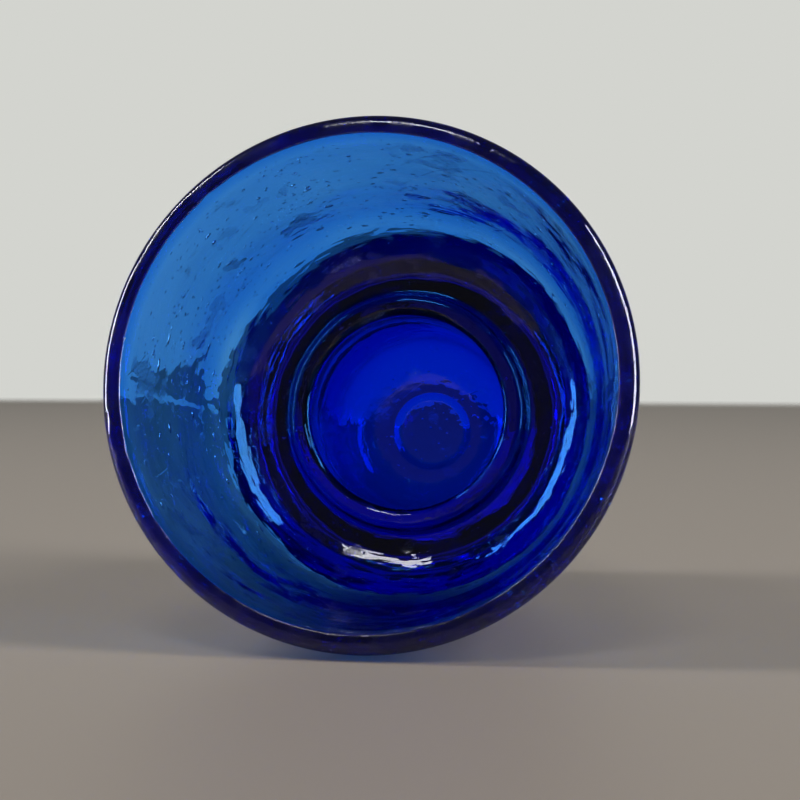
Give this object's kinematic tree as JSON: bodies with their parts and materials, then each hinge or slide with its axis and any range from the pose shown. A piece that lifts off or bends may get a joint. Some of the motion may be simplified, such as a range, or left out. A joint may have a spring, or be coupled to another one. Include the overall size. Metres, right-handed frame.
{
  "type": "glass insulator",
  "caption": "Bell-shaped pin insulator pressed in one piece of cobalt-blue glass, with a wide hollow skirt, a wire groove under the crown and a smooth blind pin hole with a raised collar.",
  "frame": {"origin": "centre of the mouth, in the plane that the rim rests on", "axes": "+Z is the insulator's axis of symmetry, from the mouth up through the pin hole to the crown; X and Y are free"},
  "size_m": [0.086, 0.086, 0.096],
  "materials": {
    "cobalt_glass": "fire-polished pressed glass, transparent cobalt blue, with seeds and light wear"
  },
  "bodies": {
    "root": {"glass_shell": "cobalt_glass"}
  },
  "joints": []
}
